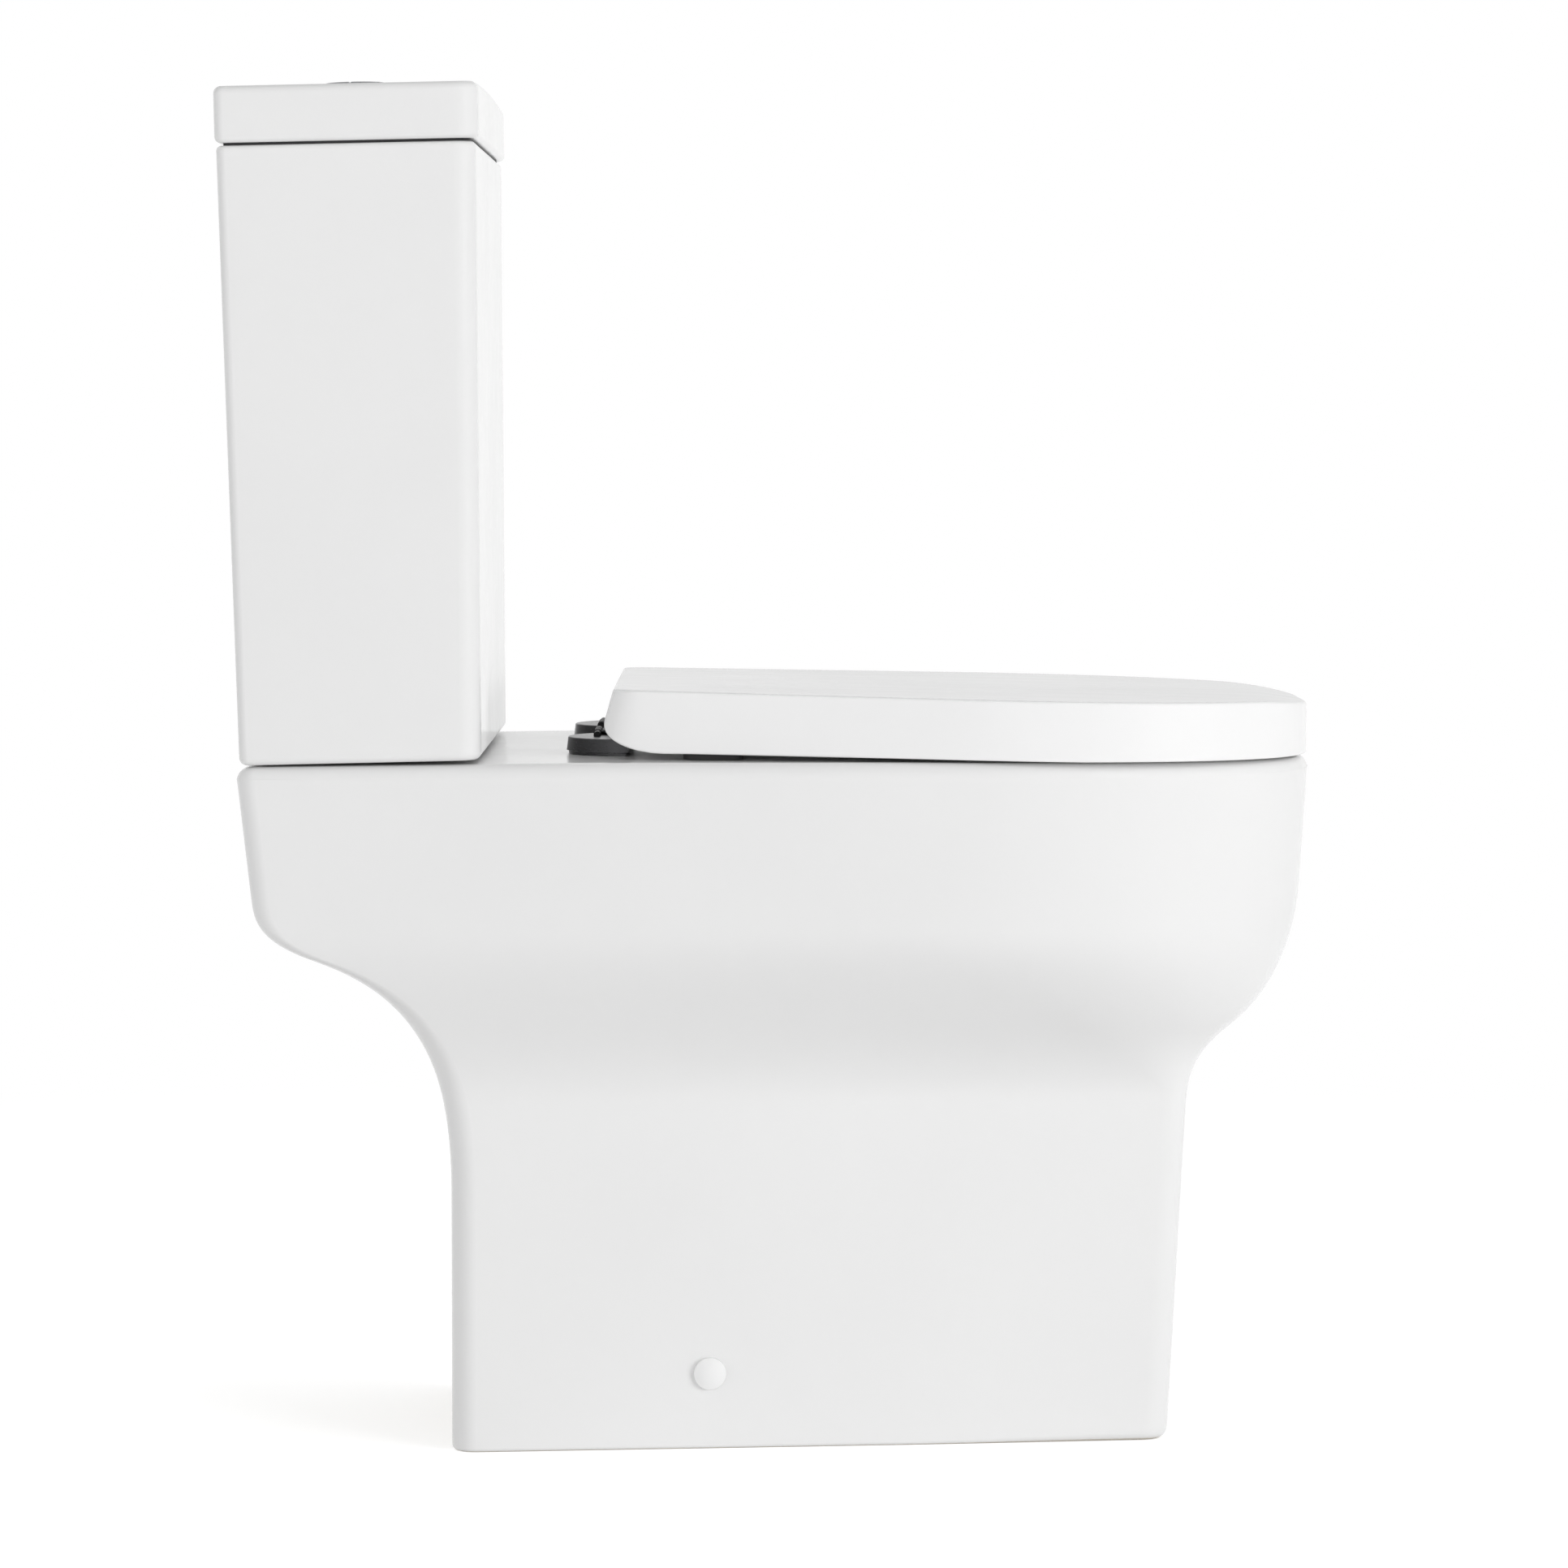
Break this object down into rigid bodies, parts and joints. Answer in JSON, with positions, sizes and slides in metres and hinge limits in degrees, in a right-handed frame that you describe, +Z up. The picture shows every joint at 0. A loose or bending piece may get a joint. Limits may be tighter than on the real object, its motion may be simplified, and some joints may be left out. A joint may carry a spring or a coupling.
{
  "type": "close coupled toilet",
  "caption": "Close coupled toilet: floor-standing china pan, cistern on its rear deck with a split push-button flush, and a hinged wrap-over seat and lid.",
  "frame": {"origin": "on the floor, under the middle of the bounding box", "axes": "+Z up; -Y towards the front of the bowl, +Y towards the wall behind the cistern; +X to the right of a person facing the cistern"},
  "size_m": [0.366, 0.6288, 0.7875],
  "materials": {
    "china": "gloss white glaze",
    "seat_plastic": "gloss white moulded plastic",
    "chrome": "bright chrome plate",
    "hinge_metal": "satin dark nickel",
    "steel": "bright zinc",
    "brass": "plain brass",
    "black_rubber": "matt black rubber",
    "soft_buffer": "pale soft rubber",
    "valve_plastic": "white moulded plastic",
    "dark_valve_plastic": "blue-grey moulded plastic"
  },
  "bodies": {
    "pan": {"pan": "china", "cistern_tank": "china", "doughnut_washer": "black_rubber", "coupling_bolts": "steel", "coupling_seal_washers": "black_rubber", "coupling_metal_washers": "steel", "coupling_pad_washers": "black_rubber", "coupling_wing_nuts": "brass", "flush_valve_base": "valve_plastic", "flush_valve_gasket": "black_rubber", "flush_valve_backnut": "dark_valve_plastic", "flush_valve_tower": "valve_plastic", "fill_valve_body": "valve_plastic", "fill_valve_gasket": "black_rubber", "fill_valve_backnut": "dark_valve_plastic", "lever_pin": "steel", "hinge_bases": "hinge_metal", "hinge_caps": "hinge_metal", "hinge_pins": "steel", "hinge_bolts": "steel", "hinge_washers": "black_rubber", "hinge_nuts": "valve_plastic", "floor_brackets": "valve_plastic", "side_screws": "steel", "side_cover_caps": "seat_plastic"},
    "canister": {"flush_valve_canister": "dark_valve_plastic", "flush_valve_seal": "black_rubber"},
    "cistern_lid": {"cistern_lid": "china", "button_housing": "chrome", "button_nut": "valve_plastic", "full_button_spring": "steel", "half_button_spring": "steel"},
    "full_button": {"full_flush_button": "chrome", "full_push_rod": "dark_valve_plastic"},
    "half_button": {"half_flush_button": "chrome", "half_push_rod": "dark_valve_plastic"},
    "float": {"fill_valve_float": "valve_plastic", "float_link": "dark_valve_plastic"},
    "lever": {"fill_valve_lever": "dark_valve_plastic"},
    "seat": {"seat": "seat_plastic", "seat_buffers": "soft_buffer"},
    "seat_lid": {"seat_lid": "seat_plastic", "lid_buffers": "soft_buffer"}
  },
  "joints": [
    {"name": "seat_hinge", "type": "hinge", "parent": "pan", "child": "seat", "pos_m": [0, 0.10361, 0.4105], "axis": [-1, 0, 0], "range_deg": [0, 96]},
    {"name": "seat_lid_hinge", "type": "hinge", "parent": "seat", "child": "seat_lid", "pos_m": [0, 0.10361, 0.4105], "axis": [1, 0, 0], "range_deg": [-96, 0]},
    {"name": "cistern_lid_lift", "type": "slide", "parent": "pan", "child": "cistern_lid", "axis": [0, 0.0218, 0.9998], "range_m": [0, 0.12]},
    {"name": "full_flush_press", "type": "slide", "parent": "cistern_lid", "child": "full_button", "axis": [0, -0.0218, -0.9998], "range_m": [0, 0.005], "stiffness_N_per_m": 400, "springref_m": -0.006, "deforming": ["full_button_spring"]},
    {"name": "half_flush_press", "type": "slide", "parent": "cistern_lid", "child": "half_button", "axis": [0, -0.0218, -0.9998], "range_m": [0, 0.005], "stiffness_N_per_m": 400, "springref_m": -0.006, "deforming": ["half_button_spring"]},
    {"name": "flush_valve_lift", "type": "slide", "parent": "pan", "child": "canister", "axis": [0, 0.0218, 0.9998], "range_m": [0, 0.01]},
    {"name": "float_fall", "type": "slide", "parent": "pan", "child": "float", "axis": [0, -0.0218, -0.9998], "range_m": [0, 0.012], "stiffness_N_per_m": 200, "springref_m": -0.01},
    {"name": "lever_swing", "type": "hinge", "parent": "pan", "child": "lever", "pos_m": [0.133, 0.2403, 0.67092], "axis": [0, -0.9998, 0.0218], "range_deg": [0, 15.5]}
  ],
  "couplings": [
    {"joint": "flush_valve_lift", "follows": "full_flush_press", "ratio": 2},
    {"joint": "lever_swing", "follows": "float_fall", "rad_per_m": 22.5}
  ]
}
